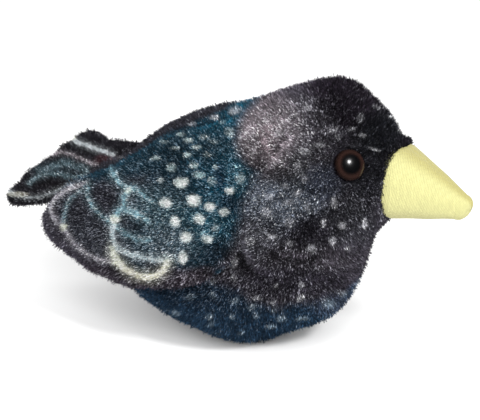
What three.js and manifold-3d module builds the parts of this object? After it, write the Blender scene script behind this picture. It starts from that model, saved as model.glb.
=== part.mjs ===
// Plush toy bird, a starling: stuffed printed-pile body with head, two padded
// wings, a padded tail flap, a sewn fabric beak and two domed plastic eyes.
// Millimetres, +Z up, +X towards the beak, +Y the bird's left side, and the
// flat of the belly on Z = 0.
import * as THREE from 'three';
import { mergeVertices } from 'three/addons/utils/BufferGeometryUtils.js';
import Module from 'manifold-3d';

const wasm = await Module();
wasm.setup();

// ---- driving dimensions ----------------------------------------------------
const GAP = 0.3;              // clear gap between neighbouring solids
const CENTRE_X = -3.80;       // middle of the whole bird's box, in the loft's X
const CENTRE_Y = 0.0;         // the same in Y
const FLOOR = 2.3;            // the loft's height at which the belly rests flat
const ROUND_TOP = 2.25;       // section exponents: 2 is an ellipse, more is squarer
const ROUND_BELLY = 2.05;
const SIDES = 40;             // segments round the body
const STEP = 3.4;             // spacing of the body's rings along X

// one row per station: x, top, bottom, half width, height share of the widest line
const BODY = [
  [-51.5, 46.5, 40.5, 3.0, 0.50],
  [-49.0, 48.8, 36.5, 8.0, 0.50],
  [-44.0, 51.5, 30.0, 14.5, 0.50],
  [-36.0, 54.7, 21.5, 20.5, 0.48],
  [-24.0, 65.2, 8.5, 27.0, 0.45],
  [-10.0, 71.9, 3.2, 31.0, 0.43],
  [4.0, 75.4, 0.5, 32.0, 0.42],
  [18.0, 82.0, 4.6, 31.0, 0.43],
  [30.0, 85.0, 10.9, 28.5, 0.47],
  [39.0, 77.8, 27.6, 24.0, 0.55],
  [46.0, 70.9, 41.5, 17.0, 0.54],
  [52.0, 68.9, 46.6, 10.6, 0.50],
];
// the same rows for the surface the wings lie on, which runs on past the rump
const WING_BED = [
  [-70.0, 47.0, 35.0, 9.5, 0.50],
  [-60.0, 51.0, 28.0, 14.5, 0.50],
  [-48.0, 54.5, 21.0, 19.5, 0.50],
  [-36.0, 58.0, 15.5, 24.0, 0.48],
  ...BODY.slice(4, 9),
];
const FACE_LEAN = 0.22;       // the face plane leans forward at the top
const FACE_BACK = 2.4;        // and its sides are set back behind the beak
const BREAST_PUFF = 0.07;     // the breast stands out over the wing's front edge
const CREASE_X = 14.5;        // where that edge lies at mid height
const NECK = { x: 6.0, z: 77.5, lean: 39 }; // the neck seam, nape down to throat

const EYE = { r: 4.5, dome: 2.5, back: 1.4, x: 43.0, y: 18.7, z: 65.6,
  nx: 0.669, ny: 0.631, nz: 0.393, sink: 1.0 };
const BEAK = { x0: 51.6, z0: 57.1, x1: 69.4, z1: 51.9, h0: 10.3, h1: 3.0,
  w0: 9.9, w1: 3.3, tip: 3.2, inset: 4.5, leanBase: 10, leanTip: 22 };
const TAIL = { x: -37.1, z: 49.2, yaw: 13.5, pitch: 9.9, roll: 24.5, length: 41,
  rootHalf: 11.2, endHalf: 15.6, half: 3.0, lobes: 4, lobe: 1.5, skew: 2.2, near: 2.2 };
const WING = { half: 2.2, top: 0.5, x: -18, a: 20, perDegree: 0.5 };
// the wing's outline as x and the angle round the body, 0 level and 90 on top
const WING_OUTLINE = [
  [5, 71], [-8, 66.5], [-18, 60], [-27, 50.5], [-39, 39], [-49, 24], [-56, -2],
  [-57.5, -19], [-54.5, -33], [-47, -39], [-37, -38], [-25, -29], [-14.6, -19],
  [-5, -11.5], [2.8, -5], [8.5, 1.5], [13.6, 13], [15.4, 26], [17.2, 36],
  [20.2, 43], [16.6, 56],
];

// ---- helpers ---------------------------------------------------------------
const rad = THREE.MathUtils.degToRad;
const clamp = THREE.MathUtils.clamp;
const smooth = (a, b, x) => { const t = clamp((x - a) / (b - a), 0, 1); return t * t * (3 - 2 * t); };

// monotone cubic through the stations' column k
function curve(rows, k) {
  const x = rows.map((r) => r[0]), y = rows.map((r) => r[k]), n = x.length;
  const h = [], d = [];
  for (let i = 0; i < n - 1; i++) { h.push(x[i + 1] - x[i]); d.push((y[i + 1] - y[i]) / h[i]); }
  const m = new Array(n).fill(0);
  for (let i = 1; i < n - 1; i++) {
    if (d[i - 1] * d[i] > 0) {
      const a = 2 * h[i] + h[i - 1], b = h[i] + 2 * h[i - 1];
      m[i] = (a + b) / (a / d[i - 1] + b / d[i]);
    }
  }
  const end = (h0, h1, d0, d1) => {
    let v = ((2 * h0 + h1) * d0 - h0 * d1) / (h0 + h1);
    if (v * d0 <= 0) v = 0;
    else if (d0 * d1 <= 0 && Math.abs(v) > 3 * Math.abs(d0)) v = 3 * d0;
    return v;
  };
  m[0] = end(h[0], h[1], d[0], d[1]);
  m[n - 1] = end(h[n - 2], h[n - 3], d[n - 2], d[n - 3]);
  return (v) => {
    const q = clamp(v, x[0], x[n - 1]);
    let i = 0;
    while (i < n - 2 && q > x[i + 1]) i++;
    const t = (q - x[i]) / h[i], t2 = t * t, t3 = t2 * t;
    return (2 * t3 - 3 * t2 + 1) * y[i] + (t3 - 2 * t2 + t) * h[i] * m[i]
      + (-2 * t3 + 3 * t2) * y[i + 1] + (t3 - t2) * h[i] * m[i + 1];
  };
}
const columns = (rows) => [1, 2, 3, 4].map((k) => curve(rows, k));
const bodyCols = columns(BODY), bedCols = columns(WING_BED);

// a point of the body at station x and angle a, grown outward by `grow`
function onBody(x, a, grow = 0, cols = bodyCols) {
  const [top, bottom, half, share] = cols.map((f) => f(x));
  const c = Math.cos(a), s = Math.sin(a), deg = THREE.MathUtils.radToDeg(a);
  const zc = bottom + share * (top - bottom);
  const h = s >= 0 ? top - zc : zc - bottom;
  const e = s >= 0 ? ROUND_TOP : ROUND_BELLY;
  let r = (Math.abs(c / half) ** e + Math.abs(s / h) ** e) ** (-1 / e);
  // both flanks: measure the angle on whichever side the point is
  const side = Math.abs(deg) > 90 ? Math.sign(deg) * (180 - Math.abs(deg)) : deg;
  const crease = CREASE_X + 0.008 * (side - 16) ** 2;
  const ahead = x - crease;
  const puff = smooth(-0.5, 3.5, ahead) * (1 - smooth(5, 20, ahead))
    * smooth(-22, -2, side) * (1 - smooth(40, 56, side));
  r = r * (1 + BREAST_PUFF * puff) + grow;
  const front = clamp((x - 34) / 18, 0, 1) ** 1.5;
  const z = zc + r * s;
  return new THREE.Vector3(
    x + FACE_LEAN * 0.86 * front * (z - zc) - FACE_BACK * front * front * c * c,
    -r * c, z);
}
const onBed = (x, a) => onBody(x, a, 0, bedCols);

// closed surface through rings of equal length, with a fan at each end
function loft(rings, first, last) {
  const n = rings[0].length, pos = [], idx = [];
  for (const ring of rings) for (const p of ring) pos.push(p.x, p.y, p.z);
  for (let i = 0; i < rings.length - 1; i++) {
    for (let j = 0; j < n; j++) {
      const a = i * n + j, b = i * n + (j + 1) % n, c = a + n, d = b + n;
      idx.push(a, b, d, a, d, c);
    }
  }
  const cap = (p, base, flip) => {
    const k = pos.length / 3;
    pos.push(p.x, p.y, p.z);
    for (let j = 0; j < n; j++) {
      const a = base + j, b = base + (j + 1) % n;
      if (flip) idx.push(k, a, b); else idx.push(k, b, a);
    }
  };
  cap(first, 0, false);
  cap(last, (rings.length - 1) * n, true);
  const g = new THREE.BufferGeometry();
  g.setAttribute('position', new THREE.Float32BufferAttribute(pos, 3));
  g.setIndex(idx);
  return outward(g);
}

// turn a closed surface so that its faces point out
function outward(g) {
  const p = g.attributes.position, idx = g.index.array;
  const a = new THREE.Vector3(), b = new THREE.Vector3(), c = new THREE.Vector3();
  let volume = 0;
  for (let i = 0; i < idx.length; i += 3) {
    a.fromBufferAttribute(p, idx[i]); b.fromBufferAttribute(p, idx[i + 1]); c.fromBufferAttribute(p, idx[i + 2]);
    volume += a.dot(b.cross(c)) / 6;
  }
  if (volume < 0) for (let i = 0; i < idx.length; i += 3) [idx[i], idx[i + 1]] = [idx[i + 1], idx[i]];
  return g;
}

// a stuffed flap: a closed cushion over a star-shaped outline of [u, v] points
function cushion(outline, centre, place, shares) {
  const rings = [], n = outline.length;
  const ring = (f, side) => outline.map(([u, v]) =>
    place(centre[0] + f * (u - centre[0]), centre[1] + f * (v - centre[1]),
      side * Math.sqrt(Math.max(0, 1 - f ** 6)), f));
  const up = shares.filter((f) => f > 0 && f < 1);
  for (const f of up) rings.push(ring(f, 1));
  rings.push(outline.map(([u, v]) => place(u, v, 0, 1)));
  for (const f of [...up].reverse()) rings.push(ring(f, -1));
  return loft(rings, place(centre[0], centre[1], 1, 0), place(centre[0], centre[1], -1, 0));
}

// smooth closed outline through control points
function closedOutline(points, count) {
  const path = new THREE.CatmullRomCurve3(
    points.map(([u, v]) => new THREE.Vector3(u, v, 0)), true, 'centripetal');
  return path.getSpacedPoints(count).slice(0, count).map((p) => [p.x, p.y]);
}

function toSolid(g) {
  const clean = g.clone();
  clean.deleteAttribute('normal');
  clean.deleteAttribute('uv');
  const m = mergeVertices(clean, 1e-4);
  return new wasm.Manifold(new wasm.Mesh({
    numProp: 3,
    vertProperties: new Float32Array(m.attributes.position.array),
    triVerts: new Uint32Array(m.index.array),
  }));
}
function toGeometry(solid) {
  const m = solid.getMesh();
  const g = new THREE.BufferGeometry();
  const n = m.vertProperties.length / m.numProp, pos = new Float32Array(n * 3);
  for (let i = 0; i < n; i++) for (let k = 0; k < 3; k++) pos[i * 3 + k] = m.vertProperties[i * m.numProp + k];
  g.setAttribute('position', new THREE.BufferAttribute(pos, 3));
  g.setIndex(new THREE.BufferAttribute(new Uint32Array(m.triVerts), 1));
  return g;
}
function mirrored(g) {
  const m = g.clone();
  m.scale(1, -1, 1);
  const idx = m.index.array;
  for (let i = 0; i < idx.length; i += 3) [idx[i], idx[i + 1]] = [idx[i + 1], idx[i]];
  return m;
}

// ---- body and head: one loft, parted by the neck seam -----------------------
function bodyLoft(grow) {
  const rings = [], x0 = BODY[0][0], x1 = BODY.at(-1)[0];
  const count = Math.round((x1 - x0) / STEP);
  for (let i = 0; i <= count; i++) {
    const x = x0 + (x1 - x0) * i / count;
    const ring = Array.from({ length: SIDES }, (_, j) => onBody(x, 2 * Math.PI * j / SIDES - Math.PI, grow));
    if (i === 0) for (const p of ring) p.x -= grow;
    rings.push(ring);
  }
  const mid = (x) => { const p = onBody(x, 0), q = onBody(x, Math.PI); return p.add(q).multiplyScalar(0.5); };
  const first = mid(x0).setX(x0 - 0.8 - grow), last = mid(x1);
  return loft(rings, first, last);
}
const floorBlock = new THREE.BoxGeometry(400, 400, 60).translate(0, 0, FLOOR - 30);
const whole = toSolid(bodyLoft(0)).subtract(toSolid(floorBlock));

// blocks on either side of the neck seam
function neckBlock(side) {
  const g = new THREE.BoxGeometry(300, 300, 300);
  g.translate(side * (150 - GAP / 2), 0, 0);
  g.rotateY(-rad(NECK.lean));
  return g.translate(NECK.x, 0, NECK.z);
}
let head = whole.subtract(toSolid(neckBlock(-1)));
let body = whole.subtract(toSolid(neckBlock(1)));

// ---- eyes: domed discs on the cheeks ----------------------------------------
function eyeShape(grow) {
  const r = EYE.r + grow, profile = [new THREE.Vector2(0, -EYE.back - grow), new THREE.Vector2(r, -EYE.back - grow)];
  for (let i = 0; i <= 6; i++) {
    const a = Math.PI / 2 * i / 6;
    profile.push(new THREE.Vector2(i === 6 ? 0 : r * Math.cos(a), (EYE.dome + grow) * Math.sin(a)));
  }
  return new THREE.LatheGeometry(profile, 24);
}
function eyePlace(side) {
  const n = new THREE.Vector3(EYE.nx, side * EYE.ny, EYE.nz).normalize();
  const q = new THREE.Quaternion().setFromUnitVectors(new THREE.Vector3(0, 1, 0), n);
  const p = new THREE.Vector3(EYE.x, side * EYE.y, EYE.z).addScaledVector(n, -EYE.sink);
  return { p, q };
}
for (const side of [-1, 1]) {
  const { p, q } = eyePlace(side);
  const pocket = eyeShape(GAP).applyQuaternion(q).translate(p.x, p.y, p.z);
  const mouth = new THREE.CylinderGeometry(EYE.r + GAP, EYE.r + GAP, 8, 24).translate(0, 4 - 0.2, 0)
    .applyQuaternion(q).translate(p.x, p.y, p.z);
  head = head.subtract(toSolid(pocket).add(toSolid(mouth)));
}

// ---- beak: blunt stuffed cone, its root in a pocket of the face --------------
function beakShape(grow) {
  const rings = [], n = 28;
  const section = (t, cx, cz, h, w) => {
    const lean = rad(THREE.MathUtils.lerp(BEAK.leanBase, BEAK.leanTip, clamp(t, 0, 1)));
    return Array.from({ length: n }, (_, j) => {
      const a = 2 * Math.PI * j / n, c = Math.cos(a), s = Math.sin(a);
      const e = Math.pow(Math.abs(c) ** 2.15 + Math.abs(s) ** 2.15, -1 / 2.15);
      return new THREE.Vector3(cx + Math.sin(lean) * h * s * e, -w * c * e, cz + Math.cos(lean) * h * s * e);
    });
  };
  const dx = BEAK.x1 - BEAK.x0, dz = BEAK.z1 - BEAK.z0, len = Math.hypot(dx, dz);
  const ux = dx / len, uz = dz / len;
  const at = (d) => [BEAK.x0 + ux * d, BEAK.z0 + uz * d];
  for (const d of [-BEAK.inset - grow, 0, len * 0.2, len * 0.4, len * 0.6, len * 0.8, len]) {
    const t = Math.max(0, d / len), [cx, cz] = at(d);
    const h = THREE.MathUtils.lerp(BEAK.h0, BEAK.h1, t) + grow;
    const w = THREE.MathUtils.lerp(BEAK.w0, BEAK.w1, t ** 0.92) + grow;
    rings.push(section(t, cx, cz, h, w));
  }
  for (const a of [25, 48, 68]) {
    const k = Math.cos(rad(a)), d = len + BEAK.tip * Math.sin(rad(a)), [cx, cz] = at(d);
    rings.push(section(1, cx, cz, BEAK.h1 * k + grow, BEAK.w1 * k + grow));
  }
  const [fx, fz] = at(-BEAK.inset - grow), [lx, lz] = at(len + BEAK.tip + grow);
  return loft(rings, new THREE.Vector3(fx, 0, fz), new THREE.Vector3(lx, 0, lz));
}
head = head.subtract(toSolid(beakShape(GAP)));

// ---- tail: a padded flap with four blunt feather tips ------------------------
const tailAxes = (() => {
  const yaw = rad(TAIL.yaw), pitch = rad(TAIL.pitch), roll = rad(TAIL.roll);
  const along = new THREE.Vector3(-Math.cos(yaw) * Math.cos(pitch), Math.sin(yaw) * Math.cos(pitch), -Math.sin(pitch));
  const level = new THREE.Vector3(0, 1, 0).addScaledVector(along, -along.y).normalize();
  const up = new THREE.Vector3().crossVectors(level, along).normalize();
  if (up.z < 0) up.negate();
  const across = level.clone().multiplyScalar(Math.cos(roll)).addScaledVector(up, Math.sin(roll));
  const normal = up.clone().multiplyScalar(Math.cos(roll)).addScaledVector(level, -Math.sin(roll));
  return { along, across, normal, root: new THREE.Vector3(TAIL.x, 0, TAIL.z) };
})();
function tailShape(grow) {
  const half = (s) => THREE.MathUtils.lerp(TAIL.rootHalf, TAIL.endHalf, clamp((s + 1) / TAIL.length, 0, 1));
  const outline = [], steps = 7, ends = 24;
  for (let i = 0; i < steps; i++) { const s = (TAIL.length - 4) * i / steps; outline.push([s, -half(s) - grow]); }
  for (let i = 0; i <= ends; i++) {
    const t = -1 + 2 * i / ends;
    const lobe = Math.abs(Math.sin(Math.PI * TAIL.lobes * (t + 1) / 2)) ** 0.6;
    const corner = 1 - Math.abs(t) ** 9;
    const s = TAIL.length - 3 + 3 * corner + TAIL.lobe * (lobe - 0.5) * Math.min(1, corner * 3);
    outline.push([s + grow, t * (half(s) + grow)]);
  }
  for (let i = steps - 1; i >= 0; i--) { const s = (TAIL.length - 4) * i / steps; outline.push([s, half(s) + grow]); }
  for (const t of [0.6, 0.2, -0.2, -0.6]) outline.push([-2.2 - grow, t * half(0)]);
  const place = (s0, t0, k) => {
    // the near side is longer and a little wider than the far side
    const f = smooth(0, TAIL.length, s0);
    const s = s0 - TAIL.skew * f * t0 / TAIL.endHalf, t = t0 - TAIL.near * f * (1 - t0 / TAIL.endHalf) * 0.5;
    const thick = TAIL.half * (1 - 0.22 * smooth(10, TAIL.length, s)) + grow;
    return tailAxes.root.clone().addScaledVector(tailAxes.along, s)
      .addScaledVector(tailAxes.across, t).addScaledVector(tailAxes.normal, k * thick);
  };
  return cushion(outline, [TAIL.length * 0.5, 0], place, [0.45, 0.75, 0.92, 0.985]);
}
body = body.subtract(toSolid(tailShape(GAP)));

// ---- wings: padded flaps lying on the flanks ---------------------------------
function wingShape() {
  const k = WING.perDegree;
  const outline = closedOutline(WING_OUTLINE.map(([x, a]) => [x, a * k]), 46);
  const place = (u, v, side) => {
    const a = rad(v / k), p = onBed(u, a);
    const du = onBed(u + 0.5, a).sub(onBed(u - 0.5, a)), dv = onBed(u, a + 0.01).sub(onBed(u, a - 0.01));
    const n = du.cross(dv).normalize();
    if (n.y * p.y + n.z * (p.z - 38) < 0) n.negate();
    const thin = smooth(35, 80, v / k);
    const outer = THREE.MathUtils.lerp(2 * WING.half, 2 * WING.top, thin) + GAP;
    const inner = THREE.MathUtils.lerp(-1.4, GAP, smooth(24, 36, -u));
    return p.addScaledVector(n, (outer + inner) / 2 + side * (outer - inner) / 2);
  };
  return cushion(outline, [WING.x, WING.a * k], place, [0.25, 0.5, 0.72, 0.88, 0.96, 0.993]);
}
const bodyGrown = toSolid(bodyLoft(GAP + 0.05));
const tailGrown = toSolid(tailShape(GAP));
const wingNear = wingShape();
const wingRight = toSolid(wingNear).subtract(bodyGrown).subtract(tailGrown);
const wingLeft = toSolid(mirrored(wingNear)).subtract(bodyGrown).subtract(tailGrown);

// ---- the scene graph ---------------------------------------------------------
const cloth = (color) => new THREE.MeshStandardMaterial({ color, roughness: 0.95, metalness: 0 });
const charcoal = cloth(0x3f3a42), teal = cloth(0x22353c), slate = cloth(0x2b3338), yellow = cloth(0xe6d27a);
const gloss = new THREE.MeshStandardMaterial({ color: 0x3a1712, roughness: 0.12, metalness: 0 });

const bird = new THREE.Group();
bird.position.set(-CENTRE_X, -CENTRE_Y, -FLOOR);
function add(name, geometry, material) {
  const mesh = new THREE.Mesh(geometry, material);
  mesh.name = name;
  bird.add(mesh);
  return mesh;
}
add('body', toGeometry(body), slate);
add('head', toGeometry(head), charcoal);
add('wing_right', toGeometry(wingRight), teal);
add('wing_left', toGeometry(wingLeft), teal);
add('tail', tailShape(0), teal);
add('beak', beakShape(0), yellow);
for (const [name, side] of [['eye_right', -1], ['eye_left', 1]]) {
  const g = eyeShape(0);
  g.deleteAttribute('normal');
  g.deleteAttribute('uv');
  const eye = add(name, mergeVertices(g, 1e-4), gloss);
  const { p, q } = eyePlace(side);
  eye.position.copy(p);
  eye.quaternion.copy(q);
}
export default bird;
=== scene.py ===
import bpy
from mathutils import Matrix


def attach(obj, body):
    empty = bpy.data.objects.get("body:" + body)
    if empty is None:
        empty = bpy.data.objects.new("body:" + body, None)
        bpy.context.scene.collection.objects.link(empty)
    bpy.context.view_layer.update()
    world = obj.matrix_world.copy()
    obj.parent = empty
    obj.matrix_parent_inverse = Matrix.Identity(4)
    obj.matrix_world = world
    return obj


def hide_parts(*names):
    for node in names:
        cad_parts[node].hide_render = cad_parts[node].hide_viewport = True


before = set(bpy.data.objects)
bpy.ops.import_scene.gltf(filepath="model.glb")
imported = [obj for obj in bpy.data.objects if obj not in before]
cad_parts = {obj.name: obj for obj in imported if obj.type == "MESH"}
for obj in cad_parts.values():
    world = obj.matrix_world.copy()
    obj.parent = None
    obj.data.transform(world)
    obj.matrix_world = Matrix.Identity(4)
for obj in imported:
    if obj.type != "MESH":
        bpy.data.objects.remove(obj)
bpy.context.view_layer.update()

import math

import bpy
import numpy as np
from mathutils import Vector

# A stuffed plush starling in printed short pile. Lengths below are millimetres
# in the body loft's own coordinates, the same as the solids were made in, and
# shift() brings them to the shared frame in metres.
CENTRE_X, FLOOR = -3.80, 2.3
RNG = np.random.default_rng(71)


def shift(p):
    q = np.array(p, float, copy=True)
    q[..., 0] -= CENTRE_X
    q[..., 2] -= FLOOR
    return q * 0.001


# ---- camera: the photograph's angle ------------------------------------------
AZ, EL, AWAY, LENS = math.radians(25), math.radians(18), 600.0, 150.0
RIGHT = np.array([math.cos(AZ), math.sin(AZ), 0])
UP = np.array([-math.sin(AZ) * math.sin(EL), math.cos(AZ) * math.sin(EL), math.cos(EL)])
BACK = np.array([math.sin(AZ) * math.cos(EL), -math.cos(AZ) * math.cos(EL), math.sin(EL)])
AIM = np.array([0, 0, 41.0])

cam_data = bpy.data.cameras.new("camera")
cam_data.lens, cam_data.sensor_width, cam_data.sensor_fit = LENS, 36.0, "HORIZONTAL"
cam_data.clip_start, cam_data.clip_end = 0.05, 20
camera = bpy.data.objects.new("camera", cam_data)
bpy.context.scene.collection.objects.link(camera)
camera.location = Vector(shift(AIM + BACK * AWAY))
camera.rotation_euler = Vector(BACK).to_track_quat("Z", "Y").to_euler()
bpy.context.scene.camera = camera


def flank(p, mirror=True):
    """Where a point lies on a fixed oblique plane beside the bird, in a unit of
    about 0.3 mm, both flanks alike. The printed markings are laid out on it."""
    q = np.array(p, float, copy=True)
    if mirror:
        q[..., 1] = -np.abs(q[..., 1])
    q = q - AIM
    d = AWAY - q @ BACK
    return np.stack([240 + 2000 * (q @ RIGHT) / d, 210 - 2000 * (q @ UP) / d], -1)


# ---- small maths --------------------------------------------------------------
def smooth(a, b, x):
    t = np.clip((np.asarray(x, float) - a) / (b - a), 0, 1)
    return t * t * (3 - 2 * t)


def mix(a, b, t):
    t = np.asarray(t, float)
    if np.ndim(a) and np.ndim(t) and np.shape(a) != np.shape(t):
        t = t[..., None]
    return a * (1 - t) + b * t


def unit(v):
    return v / np.maximum(np.linalg.norm(v, axis=-1, keepdims=True), 1e-12)


def pchip(x, y):
    h, d = np.diff(x), np.diff(y) / np.diff(x)
    m = np.zeros(len(x))
    for i in range(1, len(x) - 1):
        if d[i - 1] * d[i] > 0:
            a, b = 2 * h[i] + h[i - 1], h[i] + 2 * h[i - 1]
            m[i] = (a + b) / (a / d[i - 1] + b / d[i])

    def end(h0, h1, d0, d1):
        v = ((2 * h0 + h1) * d0 - h0 * d1) / (h0 + h1)
        if v * d0 <= 0:
            return 0.0
        return 3 * d0 if d0 * d1 <= 0 and abs(v) > 3 * abs(d0) else v

    m[0], m[-1] = end(h[0], h[1], d[0], d[1]), end(h[-1], h[-2], d[-1], d[-2])

    def at(v):
        q = np.clip(v, x[0], x[-1])
        i = np.clip(np.searchsorted(x, q, side="left") - 1, 0, len(x) - 2)
        t = (q - x[i]) / h[i]
        t2, t3 = t * t, t * t * t
        return ((2 * t3 - 3 * t2 + 1) * y[i] + (t3 - 2 * t2 + t) * h[i] * m[i]
                + (-2 * t3 + 3 * t2) * y[i + 1] + (t3 - t2) * h[i] * m[i + 1])

    return at


def hashed(ix, iy, iz, seed):
    n = (ix.astype(np.uint64) * np.uint64(73856093)) ^ (iy.astype(np.uint64) * np.uint64(19349663)) \
        ^ (iz.astype(np.uint64) * np.uint64(83492791)) ^ np.uint64(seed * 2654435761 % 4294967291)
    n = (n ^ (n >> np.uint64(13))) * np.uint64(1274126177)
    n = n ^ (n >> np.uint64(16))
    return (n & np.uint64(0xFFFFFF)).astype(np.float64) / 0xFFFFFF


def noise(p, size, seed=0):
    """Smooth value noise in -1..1 with features about `size` across."""
    q = np.asarray(p, float) / size + 1000.0
    f = np.floor(q)
    t = q - f
    t = t * t * (3 - 2 * t)
    i = f.astype(np.int64)
    out = 0
    for dx in (0, 1):
        for dy in (0, 1):
            for dz in (0, 1):
                w = np.where(dx, t[..., 0], 1 - t[..., 0]) * np.where(dy, t[..., 1], 1 - t[..., 1]) \
                    * np.where(dz, t[..., 2], 1 - t[..., 2])
                out = out + w * hashed(i[..., 0] + dx, i[..., 1] + dy, i[..., 2] + dz, seed)
    return out * 2 - 1


def lin(r, g, b):
    c = np.array([r, g, b], float) / 255
    return np.where(c <= 0.04045, c / 12.92, ((c + 0.055) / 1.055) ** 2.4)


# ---- the stuffed body, as in the solids ---------------------------------------
BODY = np.array([
    [-51.5, 46.5, 40.5, 3.0, 0.50],
    [-49.0, 48.8, 36.5, 8.0, 0.50],
    [-44.0, 51.5, 30.0, 14.5, 0.50],
    [-36.0, 54.7, 21.5, 20.5, 0.48],
    [-24.0, 65.2, 8.5, 27.0, 0.45],
    [-10.0, 71.9, 3.2, 31.0, 0.43],
    [4.0, 75.4, 0.5, 32.0, 0.42],
    [18.0, 82.0, 4.6, 31.0, 0.43],
    [30.0, 85.0, 10.9, 28.5, 0.47],
    [39.0, 77.8, 27.6, 24.0, 0.55],
    [46.0, 70.9, 41.5, 17.0, 0.54],
    [52.0, 68.9, 46.6, 10.6, 0.50],
])
BED = np.array([
    [-70.0, 47.0, 35.0, 9.5, 0.50],
    [-60.0, 51.0, 28.0, 14.5, 0.50],
    [-48.0, 54.5, 21.0, 19.5, 0.50],
    [-36.0, 58.0, 15.5, 24.0, 0.48],
    *BODY[4:9],
])
ROUND_TOP, ROUND_BELLY = 2.25, 2.05
FACE_LEAN, FACE_BACK, BREAST_PUFF, CREASE_X = 0.22, 2.4, 0.07, 14.5
PILE = 2.75                     # how far the coat stands off the backing cloth
SKIN_FACE_BACK = 3.6            # the cloth's front edge draws back beside the beak
body_cols = [pchip(BODY[:, 0], BODY[:, k]) for k in range(1, 5)]
bed_cols = [pchip(BED[:, 0], BED[:, k]) for k in range(1, 5)]


def flank_angle(a):
    deg = np.degrees(a)
    deg = (deg + 180) % 360 - 180
    return np.where(np.abs(deg) > 90, np.sign(deg) * (180 - np.abs(deg)), deg)


def ahead_of_wing(x, a):
    return x - (CREASE_X + 0.008 * (flank_angle(a) - 16) ** 2)


def loft_point(x, a, grow=0.0, cols=body_cols, puffed=True):
    top, bottom, half, share = [f(x) for f in cols]
    c, s, side = np.cos(a), np.sin(a), flank_angle(a)
    zc = bottom + share * (top - bottom)
    h = np.where(s >= 0, top - zc, zc - bottom)
    e = np.where(s >= 0, ROUND_TOP, ROUND_BELLY)
    r = (np.abs(c / half) ** e + np.abs(s / h) ** e) ** (-1 / e)
    ahead = ahead_of_wing(x, a)
    puff = smooth(-0.5, 3.5, ahead) * (1 - smooth(5, 20, ahead)) \
        * smooth(-22, -2, side) * (1 - smooth(40, 56, side))
    r = r * (1 + BREAST_PUFF * puff * puffed) + grow
    front = np.clip((x - 34) / 18, 0, 1) ** 1.5
    z = zc + r * s
    return np.stack([x + FACE_LEAN * 0.86 * front * (z - zc) - FACE_BACK * front * front * c * c,
                     -r * c, z], -1)


def segment_distance(uv, a, b):
    a, b = np.array(a, float), np.array(b, float)
    ab = b - a
    t = np.clip(((uv - a) @ ab) / (ab @ ab), 0, 1)
    return np.linalg.norm(uv - (a + t[..., None] * ab), axis=-1)


def line_distance(uv, pts):
    """Distance to a line through pts, and how far along it, 0 to 1."""
    best, along, n = None, None, len(pts) - 1
    for i in range(n):
        a, b = np.array(pts[i], float), np.array(pts[i + 1], float)
        ab = b - a
        t = np.clip(((uv - a) @ ab) / (ab @ ab), 0, 1)
        d = np.linalg.norm(uv - (a + t[..., None] * ab), axis=-1)
        if best is None:
            best, along = d, t / n
        else:
            near = d < best
            best, along = np.where(near, d, best), np.where(near, (i + t) / n, along)
    return best, along


def rounded(pts, per=6):
    """A smooth open line through pts."""
    p = np.array(pts, float)
    p = np.vstack([2 * p[0] - p[1], p, 2 * p[-1] - p[-2]])
    out = []
    for i in range(1, len(p) - 2):
        for t in np.arange(per) / per:
            out.append(0.5 * (2 * p[i] + (p[i + 1] - p[i - 1]) * t
                              + (2 * p[i - 1] - 5 * p[i] + 4 * p[i + 1] - p[i + 2]) * t ** 2
                              + (3 * p[i] - p[i - 1] - 3 * p[i + 1] + p[i + 2]) * t ** 3))
    out.append(p[-2])
    return np.array(out)


BREAST_FOLD = rounded([(262, 246), (272, 256), (286, 261), (300, 262)])


def skin_depth(x, a):
    """How far the backing cloth lies inside the coat's tips: creases deeper,
    the short pile round the beak less."""
    p = loft_point(x, a)
    side, ahead = flank_angle(a), ahead_of_wing(x, a)
    d = mix(PILE, 1.2, smooth(44, 52, x)) + 0 * a
    # valley where the breast bulges over the wing's sewn front edge
    valley = np.exp(-((ahead + 1.2) / 2.2) ** 2) * smooth(-16, 4, side) * (1 - smooth(46, 62, side))
    d = d + 2.4 * valley
    # a fold low on the breast
    fold, _ = line_distance(flank(p), BREAST_FOLD)
    d = d + 2.1 * np.exp(-(fold / 5.0) ** 2)
    # the throat draws in above the breast
    d = d + 5.6 * np.exp(-((p[..., 0] - 41) ** 2 / 60.0 + (p[..., 2] - 29.5) ** 2 / 70.0))
    # and the belly rises a little, most at the front
    d = d + smooth(-26, -56, side) * (0.5 * smooth(-42, -30, x) + 1.1 * smooth(8, 20, x)) * smooth(43, 36, x)
    # fuller over the far eye
    d = d - 1.0 * np.exp(-((p[..., 0] - 43.5) ** 2 + (p[..., 1] - 16) ** 2 + (p[..., 2] - 67.5) ** 2) / 30.0)
    # stuffing is never quite even
    d = d + 0.45 * noise(p, 17, 3) + 0.22 * noise(p, 8, 4)
    # the seam along the spine
    d = d + 0.5 * np.exp(-((90 - np.abs(side)) / 2.2) ** 2) * (side > 0) * smooth(8, -2, x)
    return np.maximum(d, 0.6)


def on_floor(p, lift):
    q = np.array(p, copy=True)
    q[..., 2] = np.maximum(q[..., 2], FLOOR + lift)
    return q


def body_skin(x, a):
    """The backing cloth of head and body."""
    x = np.asarray(x, float)
    p = loft_point(x, a, -skin_depth(x, a))
    q = np.array(p, copy=True)
    q[..., 0] += 1.5 * smooth(-44, -51.5, x)
    front, s = np.clip((x - 34) / 18, 0, 1) ** 3, np.sin(a)
    over = mix(0.40, 0.20, smooth(0.25, -0.45, np.cos(a)))      # further forward on the far brow
    draw = np.where(s > 0, mix(1.0, over, np.abs(s) ** 4), mix(1.0, 0.15, np.abs(s) ** 2.5))
    q[..., 0] -= front * (SKIN_FACE_BACK * draw - FACE_BACK * np.cos(a) ** 2)
    return on_floor(q, 1.0)


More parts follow.
